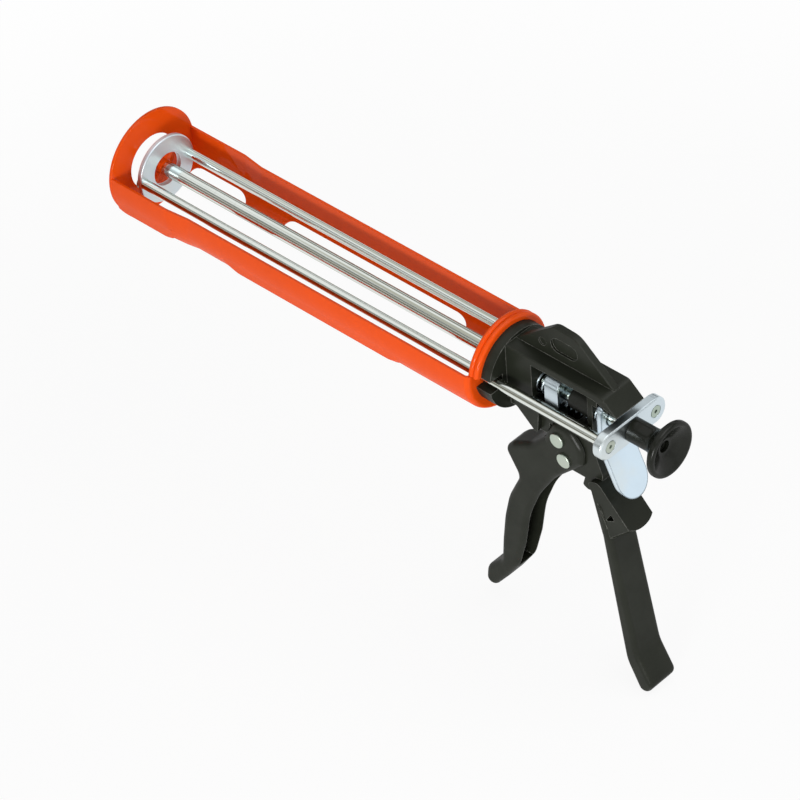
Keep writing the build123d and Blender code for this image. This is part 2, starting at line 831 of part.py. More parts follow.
def coil_spring(front, rear, mean_radius, wire, turns, z=0.0):
    """Round-wire spring along X between two end places; prints its least gap."""
    length = front - rear - wire
    pitch = length / turns
    steps = round(4 * turns)
    points = []
    directions = []
    for n in range(steps + 1):
        angle = n * math.pi / 2
        x = front - wire / 2 - pitch * n / 4
        points.append(Vector(x, mean_radius * math.cos(angle), z + mean_radius * math.sin(angle)))
        slope = -pitch / (2 * math.pi)
        direction = Vector(slope, -mean_radius * math.sin(angle), mean_radius * math.cos(angle))
        directions.append(direction.normalized())
    path = [Line(points[0] - directions[0] * wire, points[0])]
    for n in range(steps):
        path += biarc(points[n], directions[n], points[n + 1], directions[n + 1])
    path.append(Line(points[-1], points[-1] + directions[-1] * wire))
    coil = Wire(path)
    print("least gap in a spring", round(least_gap(coil, turns, wire), 3))
    start = Plane(origin=path[0] @ 0, z_dir=directions[0])
    return sweep(start * Circle(wire / 2), path=coil)


def make_release_plate():
    """Pressed plate whose rounded toe is pushed to free the rods."""
    thick = release_thickness
    side = side_prism(
        release_lobe_radius + 1,
        (release_start, release_pivot, 0),
        (release_start, release_bend_top, 6),
        (release_toe[0] - thick, release_toe[1], 0),
        (release_toe[0], release_toe[1], 0),
        (release_start + thick, release_bend_top + 1, 9),
        (release_start + thick, release_pivot, 0),
    )
    wide = release_lobe_radius
    outline = [
        (release_half_width, release_pivot),
        (release_half_width, release_bend_top),
        (wide, release_bend_top - release_widening),
        (wide, release_toe[1]),
        (-wide, release_toe[1]),
        (-wide, release_bend_top - release_widening),
        (-release_half_width, release_bend_top),
        (-release_half_width, release_pivot),
    ]
    radii = [1, 8, 8, wide - 0.05, wide - 0.05, 8, 8, 1]
    face = make_face(FilletPolyline(*outline, radius=radii, close=True))
    plane = Plane.YZ.offset(back(release_toe[0] + thick))
    plate = side & extrude(plane * face, amount=release_toe[0] - release_start + 2 * thick)
    plate += pin_across(release_roll_radius, -release_half_width + 1, release_half_width - 1,
                        back(release_start + thick / 2), release_pivot)
    hole = centre_rod_radius + release_hole_clear
    return plate - rod_along_x(hole, back(release_start - 1), back(release_start + thick + 1))


def make_centre_rod():
    """Middle rod from the star to the knob, turned down at the nose."""
    rear = yoke_rear - knob_grip_length
    rod = rod_along_x(centre_rod_radius, rear, star_rear)
    rod = chamfer(rod.edges().group_by(Axis.X)[-1], rod_nose)
    rod += rod_along_x(spigot_radius, star_rear, star_rear + spigot_length)
    return rod - rod_along_x(rod_screw_radius, rear, rear + knob_screw_length)


def make_push_rod(y):
    """Outer rod from the ring pusher to the yoke, tapped at both ends."""
    rod = rod_along_x(push_rod_radius, yoke_front, pusher_rear, y)
    rod -= rod_along_x(rod_screw_radius, yoke_front, yoke_front + rod_screw_length, y)
    return rod - rod_along_x(rod_screw_radius, pusher_rear - rod_screw_length, pusher_rear, y)


def countersunk_screw(face_x, inward, y, length):
    """Flush screw with a hexagon socket; inward is the direction of its tip."""
    cone = rod_screw_head_radius - rod_screw_radius
    profile = [
        (0, 0),
        (0, rod_screw_head_radius),
        (inward * head_ring, rod_screw_head_radius),
        (inward * (head_ring + cone), rod_screw_radius),
        (inward * length, rod_screw_radius),
        (inward * length, 0),
    ]
    screw = Pos(face_x, y, 0) * turned(*profile)
    return screw - hex_socket(face_x, inward, y, 0, socket_radius)


def make_ring_pusher():
    """Round plate that pushes the outer chamber's piston."""
    ring = rod_along_x(pusher_radius, pusher_rear, pusher_rear + pusher_thickness)
    ring = fillet(ring.edges(), 0.7)
    ring -= rod_along_x(pusher_hole_radius, pusher_rear, pusher_rear + pusher_thickness)
    for y, _ in rod_places:
        ring -= countersink(pusher_rear + pusher_thickness, -1, y, pusher_thickness)
    return ring


def countersink(face_x, inward, y, depth):
    """Cone and through hole for a flush screw."""
    cone = rod_screw_head_radius - rod_screw_radius
    mouth = rod_screw_head_radius + head_ring
    profile = [
        (0, 0),
        (0, mouth),
        (inward * head_ring, mouth),
        (inward * head_ring, rod_screw_head_radius),
        (inward * (head_ring + cone), rod_screw_radius),
        (inward * depth, rod_screw_radius),
        (inward * depth, 0),
    ]
    return Pos(face_x, y, 0) * turned(*profile)


def make_pusher_screws():
    """Flush screws from the ring pusher into the push rods."""
    front = pusher_rear + pusher_thickness
    length = pusher_thickness + rod_screw_length - 2
    return Compound(children=[countersunk_screw(front, -1, y, length) for y, _ in rod_places])


def make_inner_pusher():
    """Star that pushes the inner chamber's piston."""
    star = rod_along_x(star_hub_radius, star_rear, star_rear + star_hub_depth)
    star = fillet(star.edges().group_by(Axis.X)[-1], 1.2)
    arm_rear = star_rear + (star_hub_depth - star_arm_depth) / 2
    for n in range(star_arms):
        arm = Pos((star_radius - star_arm_width / 2) / 2, 0) * SlotOverall(
            star_radius + star_arm_width / 2, star_arm_width)
        turn = Rot(Z=star_turn + 360 * n / star_arms)
        star += extrude(Plane.YZ.offset(arm_rear) * (turn * arm), amount=star_arm_depth)
    return star - rod_along_x(spigot_radius, star_rear, star_rear + spigot_length)


def make_yoke_plate():
    """Bar that ties the three rods together."""
    bar = extrude(Plane.YZ.offset(yoke_rear) * SlotCenterToCenter(2 * rod_spacing, 2 * yoke_end_radius),
                  amount=yoke_thickness)
    bar = chamfer(bar.edges().group_by(Axis.X)[0] + bar.edges().group_by(Axis.X)[-1], yoke_edge)
    bar -= rod_along_x(centre_rod_radius, yoke_rear, yoke_front)
    for y, _ in rod_places:
        bar -= countersink(yoke_rear, 1, y, yoke_thickness)
    return bar


def make_yoke_screws():
    """Flush screws from the yoke into the push rods."""
    length = yoke_thickness + rod_screw_length - 2
    return Compound(children=[countersunk_screw(yoke_rear, 1, y, length) for y, _ in rod_places])


def make_pull_knob():
    """Turned knob for drawing the rods back, flared and dished at the rear."""
    front = yoke_rear
    rear = front - knob_length
    web_rear = front - knob_grip_length - knob_web
    outline = [
        (front, centre_rod_radius),
        (front, knob_stem_radius),
        (front - knob_stem_length, knob_stem_radius),
        (rear + knob_rim, knob_radius),
        (rear, knob_radius),
        (rear, knob_radius - 2.2),
        (rear + knob_dish, knob_hole_radius + 1.5),
        (rear + knob_dish, knob_hole_radius),
        (web_rear, knob_hole_radius),
        (web_rear, rod_screw_radius),
        (front - knob_grip_length, rod_screw_radius),
        (front - knob_grip_length, centre_rod_radius),
    ]
    radii = [0, 0.8, 6, 1.6, 1.6, 1.0, 4, 0, 0, 0, 0, 0]
    return revolve(make_face(FilletPolyline(*outline, radius=radii, close=True)), axis=Axis.X)


def make_knob_screw():
    """Cap screw inside the knob that draws it onto the centre rod."""
    seat = yoke_rear - knob_grip_length - knob_web
    head = rod_along_x(knob_hole_radius - 0.4, seat - knob_screw_head, seat)
    shank = rod_along_x(rod_screw_radius, seat, seat + knob_web + knob_screw_length - 1)
    return head + shank - hex_socket(seat - knob_screw_head, 1, 0, 0, 1.4 * socket_radius)


def make_springs():
    """Return, pawl and release springs round or beside the centre rod."""
    return {
        "return_spring": coil_spring(
            back(spring_pocket_end + spring_end_gap), back(cage_start - spring_end_gap),
            return_mean_radius, return_wire, return_turns),
        "pawl_spring": coil_spring(
            back(grip_plates_end() + spring_end_gap), back(inner_wall[0] - spring_end_gap),
            small_mean_radius, small_wire, small_turns, small_spring_height),
        "release_spring": coil_spring(
            back(inner_wall[1] + spring_end_gap), back(release_start - spring_end_gap),
            release_mean_radius, release_wire, release_turns),
    }


def build():
    """Every piece by node name."""
    pieces = {
        "front_plate": make_front_plate(),
        "cradle_shell": make_cradle_shell(),
        "rear_rim": make_rear_rim(),
        "wall_screws": make_wall_screws(),
        "body_casting": make_body_casting(),
        "guide_sleeve": make_guide_sleeve(),
        "trigger": make_trigger(),
        "pivot_pin": make_pin(pin_radius, back(pivot_back), pivot_height),
        "drive_pin": make_pin(drive_pin_radius, *drive_place()),
        "pin_clips": make_pin_clips(),
        "drive_cage": make_drive_cage(),
        "gripping_plates": make_gripping_plates(),
        "release_plate": make_release_plate(),
        "centre_rod": make_centre_rod(),
        "ring_pusher": make_ring_pusher(),
        "pusher_screws": make_pusher_screws(),
        "inner_pusher": make_inner_pusher(),
        "yoke_plate": make_yoke_plate(),
        "yoke_screws": make_yoke_screws(),
        "pull_knob": make_pull_knob(),
        "knob_screw": make_knob_screw(),
    }
    for y, side in rod_places:
        pieces[f"push_rod_{side}"] = make_push_rod(y)
    pieces.update(make_springs())
    return pieces


os.makedirs("parts", exist_ok=True)
for name, shape in build().items():
    export_step(shape, f"parts/{name}.step")
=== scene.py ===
"""Finishes, springs, camera and studio for a coaxial cartridge gun, laid out as an add-on."""

import math

import bpy
from mathutils import Matrix, Vector


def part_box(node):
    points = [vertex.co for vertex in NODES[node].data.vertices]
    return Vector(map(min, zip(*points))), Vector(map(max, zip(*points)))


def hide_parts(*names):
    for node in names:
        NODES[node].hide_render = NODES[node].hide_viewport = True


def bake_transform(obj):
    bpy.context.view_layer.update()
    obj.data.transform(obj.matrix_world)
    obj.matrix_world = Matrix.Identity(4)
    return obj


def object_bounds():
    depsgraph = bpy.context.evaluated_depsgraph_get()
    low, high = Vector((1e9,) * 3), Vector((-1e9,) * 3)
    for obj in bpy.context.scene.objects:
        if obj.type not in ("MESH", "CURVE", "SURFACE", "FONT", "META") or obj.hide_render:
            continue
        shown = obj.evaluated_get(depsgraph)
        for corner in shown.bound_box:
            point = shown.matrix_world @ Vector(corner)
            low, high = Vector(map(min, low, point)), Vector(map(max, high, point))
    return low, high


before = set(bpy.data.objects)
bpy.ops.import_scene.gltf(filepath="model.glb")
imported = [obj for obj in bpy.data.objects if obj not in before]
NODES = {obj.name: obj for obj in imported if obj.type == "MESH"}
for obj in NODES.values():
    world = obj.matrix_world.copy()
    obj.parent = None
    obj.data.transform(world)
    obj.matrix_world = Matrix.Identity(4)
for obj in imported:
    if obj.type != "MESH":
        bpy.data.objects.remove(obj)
CAD_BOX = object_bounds()

bl_info = {
    "name": "Cartridge gun finishes",
    "version": (1, 0, 0),
    "blender": (4, 5, 0),
    "location": "View3D > Sidebar > Cartridge gun",
    "description": "Paint, plating and studio for a coaxial cartridge gun",
    "category": "Object",
}

MM = 0.001
WHITE = (1.0, 1.0, 1.0, 1.0)

# How far an eased normal leans from its face where an edge starts to show, and where it shows fully
EDGE_LEAN = (0.015, 0.16)
EDGE_SAMPLES = 6

# Wound springs
COIL_STEPS = 48  # rings in a turn
WIRE_SIDES = 14
COIL_END_TURN = 0.75  # turns at each end over which the pitch grows
COIL_END_PITCH = 0.45  # pitch at the very end, as a share of that of the middle turns

# Studio, in metres from the gun's middle
KEY_PLACE = Vector((-0.6, -0.25, 1.5))
KEY_SIZE = 1.4
SIDE_PLACE = Vector((-0.75, 1.4, 0.25))
SIDE_SIZE = 0.5
FLOOR_REACH = 6.0
FLOOR_FADE = (0.25, 0.75)  # the shadow fades out between these distances
FLOOR_GREYS = ((0.86, 0.86, 0.86, 1), (0.89, 0.89, 0.89, 1))
FLOOR_CLOUDS = 0.4
UNLIT_WALL = (0.05, 0.055, 0.05, 1)

# Camera at the photograph's viewing angle, in metres
SENSOR = 36.0
CAMERA_PLACE = (-1.5496, 1.2976, 1.5704)
CAMERA_RIGHT = (-0.7264, -0.6845, -0.0620)
CAMERA_UP = (0.4187, -0.5122, 0.7499)
CAMERA_BACK = (-0.5450, 0.5187, 0.6587)
CAMERA_CLIP = (0.1, 50.0)


class Value:
    """A number socket of a node tree, so that shader maths reads as Python."""

    def __init__(self, nodes, socket):
        self.nodes = nodes
        self.socket = socket

    def _math(self, operation, first, second):
        made = self.nodes.node("ShaderNodeMath", {"operation": operation}, {0: first, 1: second})
        return Value(self.nodes, made.outputs[0])

    def __add__(self, other):
        return self._math("ADD", self, other)

    def __radd__(self, other):
        return self._math("ADD", other, self)

    def __sub__(self, other):
        return self._math("SUBTRACT", self, other)

    def __rsub__(self, other):
        return self._math("SUBTRACT", other, self)

    def __mul__(self, other):
        return self._math("MULTIPLY", self, other)

    def __rmul__(self, other):
        return self._math("MULTIPLY", other, self)

    def at_most(self, other):
        return self._math("MINIMUM", self, other)

    def at_least(self, other):
        return self._math("MAXIMUM", self, other)


class Nodes:
    """The nodes of a material or of the world."""

    def __init__(self, tree):
        self.tree = tree
        self.tree.nodes.clear()

    def node(self, kind, settings=None, values=None):
        """A node of that kind: its settings first, then the values or links of its sockets."""
        made = self.tree.nodes.new(kind)
        for key, setting in (settings or {}).items():
            setattr(made, key, setting)
        for key, value in (values or {}).items():
            if isinstance(value, Value):
                value = value.socket
            if isinstance(value, bpy.types.NodeSocket):
                self.tree.links.new(value, made.inputs[key])
            else:
                made.inputs[key].default_value = value
        return made

    def value(self, node, output):
        return Value(self, node.outputs[output])

    def between(self, value, low, high):
        """0 where the value is under low, 1 over high and a smooth rise between them."""
        made = self.node(
            "ShaderNodeMapRange",
            {"interpolation_type": "SMOOTHSTEP"},
            {"Value": value, "From Min": low, "From Max": high},
        )
        return self.value(made, "Result")

    def blended(self, factor, first, second):
        """A shader between two shader nodes."""
        values = {0: factor, 1: first.outputs[0], 2: second.outputs[0]}
        return self.node("ShaderNodeMixShader", None, values)

    def white_to_view(self):
        """1 for what the camera sees, also in a polished surface, and 0 for the light given."""
        path = self.node("ShaderNodeLightPath")
        seen = self.value(path, "Is Camera Ray").at_least(self.value(path, "Is Glossy Ray"))
        return seen.at_least(self.value(path, "Is Transmission Ray"))


class Finish(Nodes):
    """One material and the nodes that make it."""

    def __init__(self, name):
        self.material = bpy.data.materials.new(name)
        self.material.use_nodes = True
        super().__init__(self.material.node_tree)

    def place(self, stretch=(1, 1, 1)):
        """A point on the piece in metres, stretched along its axes."""
        where = self.node("ShaderNodeTexCoord").outputs["Object"]
        if stretch == (1, 1, 1):
            return where
        values = {0: where, 1: stretch}
        return self.node("ShaderNodeVectorMath", {"operation": "MULTIPLY"}, values).outputs[0]

    def noise(self, size, detail=2.0, rough=0.5, stretch=(1, 1, 1)):
        """Smooth noise from 0 to 1 whose bumps are about that many metres across."""
        made = self.node(
            "ShaderNodeTexNoise",
            {"noise_dimensions": "3D"},
            {
                "Vector": self.place(stretch),
                "Scale": 1 / size,
                "Detail": detail,
                "Roughness": rough,
            },
        )
        return self.value(made, "Fac")

    def mix(self, factor, first, second):
        """A colour between two colours."""
        made = self.node(
            "ShaderNodeMix",
            {"data_type": "RGBA", "clamp_factor": True},
            {0: factor, 6: first, 7: second},
        )
        return made.outputs[2]

    def face_normal(self):
        return self.node("ShaderNodeNewGeometry").outputs["Normal"]

    def edges(self, radius):
        """0 on flat faces, rising to 1 on edges of about that radius, and the eased normal."""
        settings = {"samples": EDGE_SAMPLES}
        eased = self.node("ShaderNodeBevel", settings, {"Radius": radius}).outputs[0]
        values = {0: eased, 1: self.face_normal()}
        dot = self.node("ShaderNodeVectorMath", {"operation": "DOT_PRODUCT"}, values)
        return self.between(1 - self.value(dot, "Value"), *EDGE_LEAN), eased

    def relief(self, height, depth, normal):
        """A normal that carries a relief of that many metres."""
        return self.node(
            "ShaderNodeBump",
            None,
            {"Strength": 1.0, "Distance": depth, "Height": height, "Normal": normal},
        ).outputs[0]

    def output(self, shader):
        self.node("ShaderNodeOutputMaterial", None, {"Surface": shader.outputs[0]})

    def surface(self, **values):
        """The finish's own shader, with its constants and what varies over the piece."""
        sockets = {key.replace("_", " "): value for key, value in values.items()}
        self.output(self.node("ShaderNodeBsdfPrincipled", None, sockets))


def rgba(colour):
    return (*colour, 1.0)


def shade(colour, amount):
    """The colour made lighter or darker."""
    return rgba(min(1.0, part * amount) for part in colour)


def orange_paint(made, settings):
    """Gloss coating on pressed sheet steel: slight flow in the coat, paint thinner at the edges."""
    edge_mask, eased = made.edges(settings.edge_radius)
    clouds = made.noise(45 * MM, detail=3)
    peel = made.noise(1.6 * MM)
    chips = made.between(made.noise(4.2 * MM, detail=5, rough=0.65), 0.60, 0.68)
    smears = made.noise(12 * MM, detail=6, rough=0.7, stretch=(0.35, 1, 1))
    scuffs = made.between(smears, 0.56, 0.74)
    coat = made.mix(clouds, shade(settings.orange, 0.93), shade(settings.orange, 1.06))
    edged = made.mix(edge_mask * 0.55, coat, shade(settings.orange, 0.72))
    chipped = (edge_mask * chips * settings.wear_and_edge_highlight).at_most(1.0)
    made.surface(
        Base_Color=made.mix(chipped, edged, rgba(settings.primer)),
        Roughness=0.24 + scuffs * 0.12 + chipped * 0.3,
        Normal=made.relief(peel + clouds * 3, 0.03 * MM, eased),
        Coat_Weight=0.26,
        Coat_Roughness=0.05,
        Specular_IOR_Level=0.0,
    )


def black_casting(made, settings):
    """Satin black coating on a casting: fine sand grain, and light grey edges that are partly
    scuffed coat and partly painted highlight.
    """
    edge_mask, eased = made.edges(settings.edge_radius * 1.6)
    grain = made.noise(0.7 * MM, detail=3, rough=0.6)
    clouds = made.noise(20 * MM, detail=4, rough=0.6)
    edge_patches = made.between(made.noise(6 * MM, detail=6, rough=0.7), 0.42, 0.66)
    coat = made.mix(clouds, shade(settings.black, 0.8), shade(settings.black, 1.25))
    # Light edge band on the casting: scuffed coat and painted highlight along its rounded edges
    edged = edge_mask * (0.35 + edge_patches * 0.65) * settings.wear_and_edge_highlight
    made.surface(
        Base_Color=made.mix(edged, coat, rgba(settings.edge_highlight_and_scuff)),
        Roughness=0.44 + clouds * 0.14,
        Normal=made.relief(grain, 0.04 * MM, eased),
        Coat_Weight=0.24 + clouds * 0.2 + edge_mask * 0.2,
        Coat_Roughness=0.32,
        Specular_IOR_Level=0.0,
    )


def plating(made, settings, colour, dulled, rounding=1.0, edge=1.15, edge_shown=0.4):
    """Zinc plating: faint straw tints, soft rolling marks, small scratches and an edge band whose
    shade the caller gives; a darker band is painted light.
    """
    edge_mask, eased = made.edges(settings.edge_radius * rounding)
    clouds = made.noise(14 * MM, detail=4, rough=0.6)
    tint = made.between(made.noise(25 * MM, detail=3), 0.45, 0.72)
    rolled = made.noise(0.5 * MM, detail=3, rough=0.6, stretch=(1, 0.12, 1))
    lines = made.noise(0.9 * MM, detail=4, rough=0.6, stretch=(1, 1, 0.06))
    scratch = made.between(lines, 0.64, 0.72)
    plate = made.mix(clouds, shade(colour, 0.94), shade(colour, 1.04))
    tinted = made.mix(tint * 0.3, plate, rgba(settings.zinc_tint))
    made.surface(
        # Edge band in the plating's colour made lighter or darker; the darker band is painted
        # reflection on the release plate and painted shade on the pins, clips and screws
        Base_Color=made.mix(edge_mask * edge_shown, tinted, shade(colour, edge)),
        Roughness=dulled + clouds * 0.10 + scratch * 0.10,
        Normal=made.relief(rolled + scratch, 0.0025 * MM, eased),
        Metallic=1.0,
    )


def zinc_plate(made, settings):
    """Bright plating of the cage, gripping plates, yoke and wall screws."""
    plating(made, settings, settings.zinc, dulled=0.27)


def satin_zinc(made, settings):
    """Satin plating of the ring pusher."""
    plating(made, settings, settings.zinc, dulled=0.40)


def blue_zinc(made, settings):
    """Blue-white plating of the release plate; its rim and side face are painted grey, a painted
    reflection of the black casting beside them.
    """
    plating(
        made, settings, settings.blue_zinc, dulled=0.26, rounding=4.0, edge=0.42, edge_shown=1.0
    )


def pin_zinc(made, settings):
    """Pins, clips and screws: plating darker, greener and duller than the bright zinc, with a dark
    rim that is painted shade of the gaps round their heads.
    """
    plating(
        made, settings, settings.pin_zinc, dulled=0.34, rounding=1.6, edge=0.45, edge_shown=0.9
    )


def hole_shade_screw(made, settings):
    """Oiled steel of the knob's screw, coloured near black as painted shade for the depth of the
    knob's hole.
    """
    edge_mask, eased = made.edges(settings.edge_radius)
    clouds = made.noise(3 * MM, detail=3, rough=0.6)
    made.surface(
        Base_Color=made.mix(clouds, shade(settings.black, 0.3), shade(settings.black, 0.7)),
        Roughness=0.38 + clouds * 0.14 - edge_mask * 0.1,
        Normal=made.relief(made.noise(0.6 * MM), 0.01 * MM, eased),
        Specular_IOR_Level=0.15,
    )


def rod_steel(made, settings):
    """Drawn and ground bar: fine lines along the rod, dark painted reflection streaks along it,
    faint rings where it has run.
    """
    eased = made.edges(settings.edge_radius * 0.6)[1]
    drawn = made.noise(0.5 * MM, detail=3, rough=0.6, stretch=(0.01, 1, 1))
    rings = made.noise(3 * MM, detail=4, rough=0.7, stretch=(1, 0.02, 0.02))
    clouds = made.noise(30 * MM, detail=4, rough=0.6)
    marks = made.between(rings, 0.56, 0.72)
    # Dark streaks along the rods: painted reflection of the dark surroundings
    streaks = made.between(made.noise(1.8 * MM, stretch=(0.003, 1, 1)), 0.50, 0.60)
    steel = made.mix(clouds, shade(settings.steel, 0.92), shade(settings.steel, 1.05))
    streaked = made.mix(streaks * 0.7, steel, rgba(settings.painted_reflection_streaks))
    made.surface(
        Base_Color=made.mix(marks * 0.4, streaked, shade(settings.steel, 0.74)),
        Roughness=0.11 + clouds * 0.07 + marks * 0.08,
        Normal=made.relief(drawn, 0.006 * MM, eased),
        Metallic=1.0,
    )


def spring_steel(made, settings):
    """Plated hard-drawn wire, a little oily."""
    clouds = made.noise(4 * MM, detail=3, rough=0.6)
    made.surface(
        Base_Color=made.mix(clouds, shade(settings.zinc, 0.86), shade(settings.zinc, 1.12)),
        Roughness=0.30 + clouds * 0.18,
        Normal=made.relief(made.noise(0.3 * MM), 0.004 * MM, made.face_normal()),
        Metallic=1.0,
    )


def black_knob(made, settings):
    """Gloss moulded plastic with faint flow marks and fingertip smudges."""
    eased = made.edges(settings.edge_radius)[1]
    flow = made.noise(9 * MM, detail=3)
    smudge = made.between(made.noise(7 * MM, detail=5, rough=0.6), 0.48, 0.7)
    made.surface(
        Base_Color=made.mix(flow, shade(settings.black, 0.40), shade(settings.black, 0.65)),
        Roughness=0.36 + smudge * 0.12,
        Normal=made.relief(flow + made.noise(1.2 * MM) * 0.2, 0.04 * MM, eased),
        Coat_Weight=0.46 - smudge * 0.14,
        Coat_Roughness=0.24,
        Specular_IOR_Level=0.0,
    )


def black_bush(made, settings):
    """Matt black plastic of the guide sleeve, slightly polished by grease."""
    eased = made.edges(settings.edge_radius)[1]
    clouds = made.noise(6 * MM, detail=4, rough=0.6)
    made.surface(
        Base_Color=made.mix(clouds, shade(settings.black, 0.5), shade(settings.black, 0.9)),
        Roughness=0.45 + clouds * 0.2,
        Normal=made.relief(made.noise(0.5 * MM), 0.03 * MM, eased),
        Specular_IOR_Level=0.35,
    )


FINISHES = {
    "orange_paint": orange_paint,
    "black_casting": black_casting,
    "zinc_plate": zinc_plate,
    "satin_zinc": satin_zinc,
    "blue_zinc": blue_zinc,
    "pin_zinc": pin_zinc,
    "hole_shade_screw": hole_shade_screw,
    "rod_steel": rod_steel,
    "spring_steel": spring_steel,
    "black_knob": black_knob,
    "black_bush": black_bush,
}

# Finishes that share another one's slot of the record
SLOTS = dict.fromkeys(("satin_zinc", "blue_zinc", "pin_zinc", "hole_shade_screw"), "zinc_plate")


def cad(*names):
    """The CAD nodes of those names."""
    missing = [name for name in names if name not in NODES]
    if missing:
        raise RuntimeError(f"the frame has no node {', '.join(missing)}")
    return [NODES[name] for name in names]


def finish_material(context, finish_name):
    """A finish's material, made once and shared by every piece that has it."""
    name = "gun_" + finish_name
    if name not in bpy.data.materials:
        FINISHES[finish_name](Finish(name), context.scene.gun_finishes)
    return bpy.data.materials[name]


def dress(context, finish_name, pieces):
    """Gives pieces a finish."""
    material = finish_material(context, finish_name)
    for piece in pieces:
        piece.data.materials.clear()
        piece.data.materials.append(material)


def colour_prop(name, description, default):
    return bpy.props.FloatVectorProperty(
        name=name, description=description, default=default, subtype="COLOR", size=3, min=0, max=1
    )


def wire_prop(name, default):
    return bpy.props.FloatProperty(
        name=name, description="Diameter of the wire", default=default, min=0.1 * MM, unit="LENGTH"
    )


def turns_prop(name, default):
    return bpy.props.IntProperty(
        name=name, description="Turns of the coil", default=default, min=1
    )


class GunFinishes(bpy.types.PropertyGroup):
    """Colours of the gun's finishes, with the amount of paint chipping and of painted edge
    highlight.
    """

    orange: colour_prop("Orange", "Coating of the cradle, rim and star", (0.80, 0.079, 0.005))
    primer: colour_prop("Primer", "What shows in a paint chip", (0.30, 0.27, 0.25))
    black: colour_prop("Black", "Castings, knob and sleeve", (0.0170, 0.0190, 0.0135))
    # Edge colour of the castings: scuffed coat and painted highlight
    edge_highlight_and_scuff: colour_prop("Edge highlight and scuff", "Casting edge under thin paint", (0.34, 0.34, 0.31))
    zinc: colour_prop("Zinc", "Bright plating and springs", (0.64, 0.73, 0.78))
    blue_zinc: colour_prop("Blue zinc", "Plating of the release plate", (0.67, 0.80, 0.90))
    pin_zinc: colour_prop("Pin zinc", "Plating of pins, clips and screws", (0.43, 0.51, 0.44))
    zinc_tint: colour_prop("Zinc tint", "Straw tint in the plating", (0.78, 0.77, 0.66))
    steel: colour_prop("Steel", "Rods", (0.75, 0.79, 0.75))
    # Colour of the painted dark reflection streaks on the rods
    painted_reflection_streaks: colour_prop("Reflection streaks", "Long streaks on the rods", (0.28, 0.28, 0.20))
    # Scales the paint chips on the cradle and the painted highlight on the castings' edges
    wear_and_edge_highlight: bpy.props.FloatProperty(
        name="Chips and edge highlight",
        description="Chips and rubbing along edges",
        default=0.8,
        min=0,
        max=1,
        subtype="FACTOR",
    )
    edge_radius: bpy.props.FloatProperty(
        name="Edge radius",
        description="Easing of pressed and cast edges",
        default=0.35 * MM,
        min=0,
        unit="LENGTH",
    )


class GunSprings(bpy.types.PropertyGroup):
    """Wire and turns of the three springs."""

    return_wire: wire_prop("Return wire", 1.3 * MM)
    return_turns: turns_prop("Return turns", 7)
    pawl_wire: wire_prop("Pawl wire", 0.7 * MM)
    pawl_turns: turns_prop("Pawl turns", 7)
    release_wire: wire_prop("Release wire", 0.8 * MM)
    release_turns: turns_prop("Release turns", 2)


class GunStudio(bpy.types.PropertyGroup):
    """Camera and light."""

    lens: bpy.props.FloatProperty(
        name="Lens",
        description="Focal length in millimetres on a 36 mm sensor",
        default=202.5,
        min=10,
        unit="CAMERA",
    )
    key_power: bpy.props.FloatProperty(
        name="Key", description="Power of the large overhead lamp", default=11.0, unit="POWER"
    )
    fill_power: bpy.props.FloatProperty(
        name="Fill", description="Power of the low side lamp", default=15.0, unit="POWER"
    )
    room_light: bpy.props.FloatProperty(
        name="Room", description="Even light from all round", default=0.4, min=0
    )
    shadow: bpy.props.FloatProperty(
        name="Shadow",
        description="How much of the shadow the floor keeps",
        default=0.10,
        min=0,
        max=1,
        subtype="FACTOR",
    )


class GUN_OT_cradle(bpy.types.Operator):
    """Paints the pressed cradle, its front plate and its rear rim"""

    bl_idname = "gun.cradle"
    bl_label = "Cradle"
    bl_options = {"REGISTER", "UNDO"}

    def execute(self, context):
        dress(context, "orange_paint", cad("front_plate", "cradle_shell", "rear_rim"))
        dress(context, "zinc_plate", cad("wall_screws"))
        return {"FINISHED"}


class GUN_OT_body(bpy.types.Operator):
    """Coats the body casting and finishes its guide sleeve"""

    bl_idname = "gun.body"
    bl_label = "Body"
    bl_options = {"REGISTER", "UNDO"}

    def execute(self, context):
        dress(context, "black_casting", cad("body_casting"))
        dress(context, "black_bush", cad("guide_sleeve"))
        return {"FINISHED"}


class GUN_OT_trigger(bpy.types.Operator):
    """Coats the trigger and plates its pins"""

    bl_idname = "gun.trigger"
    bl_label = "Trigger"
    bl_options = {"REGISTER", "UNDO"}

    def execute(self, context):
        dress(context, "black_casting", cad("trigger"))
        dress(context, "pin_zinc", cad("pivot_pin", "drive_pin", "pin_clips"))
        return {"FINISHED"}


class GUN_OT_drive(bpy.types.Operator):
    """Plates the drive cage and gripping plates"""

    bl_idname = "gun.drive"
    bl_label = "Drive"
    bl_options = {"REGISTER", "UNDO"}

    def execute(self, context):
        dress(context, "zinc_plate", cad("drive_cage", "gripping_plates"))
        return {"FINISHED"}


def coil_rise(turns):
    """How far along its length a spring is at each ring, from 0 to 1, its end turns flatter."""
    count = round(COIL_STEPS * turns)
    eased = COIL_STEPS * COIL_END_TURN
    reached = [0.0]
    for step in range(count):
        from_end = min(step + 0.5, count - step - 0.5) / eased
        pitch = min(1.0, COIL_END_PITCH + (1 - COIL_END_PITCH) * from_end)
        reached.append(reached[-1] + pitch)
    return [place / reached[-1] for place in reached]


